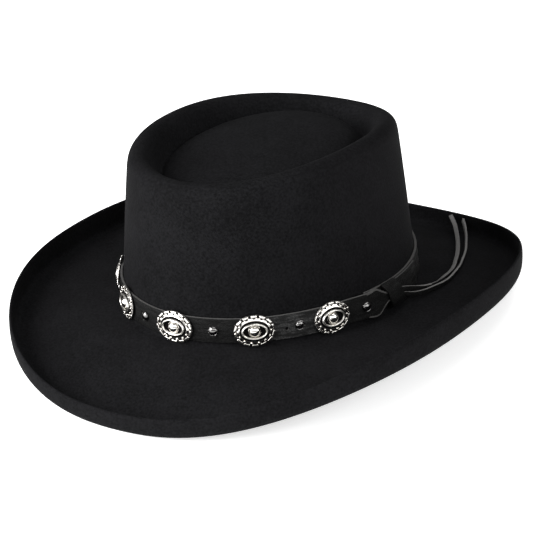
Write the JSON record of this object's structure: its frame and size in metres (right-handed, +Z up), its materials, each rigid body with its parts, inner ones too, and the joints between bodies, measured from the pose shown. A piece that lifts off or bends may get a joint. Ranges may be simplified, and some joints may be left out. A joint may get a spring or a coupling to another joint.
{
  "type": "gambler hat with a concho band",
  "caption": "Flat-topped felt hat with a wide brim curled up at its edge, a leather band set with cast oval conchos and domed studs, and two lace ends lying on the brim",
  "frame": {"origin": "on the surface that the hat stands on, under the middle of the hat's box", "axes": "+Z up, the front of the hat toward -Y, the wearer's left toward +X; the brim's length runs along Y"},
  "size_m": [0.2822, 0.3456, 0.1269],
  "materials": {
    "felt": "matte black brushed felt",
    "band_leather": "black grained leather, satin",
    "lace_leather": "black leather with grey cut edges",
    "concho_metal": "antiqued nickel, polished high, blackened in the recesses",
    "stud_metal": "polished dark nickel"
  },
  "bodies": {
    "root": {"felt_body": "felt", "band_strap": "band_leather", "keeper": "band_leather", "concho_1": "concho_metal", "concho_2": "concho_metal", "concho_3": "concho_metal", "concho_4": "concho_metal", "concho_5": "concho_metal", "concho_6": "concho_metal", "concho_7": "concho_metal", "concho_8": "concho_metal", "concho_9": "concho_metal", "concho_10": "concho_metal", "stud_1": "stud_metal", "stud_2": "stud_metal", "stud_3": "stud_metal", "stud_4": "stud_metal", "stud_5": "stud_metal", "stud_6": "stud_metal", "stud_7": "stud_metal", "stud_8": "stud_metal", "stud_9": "stud_metal", "stud_10": "stud_metal", "lace_inner": "lace_leather", "lace_outer": "lace_leather"}
  },
  "joints": []
}
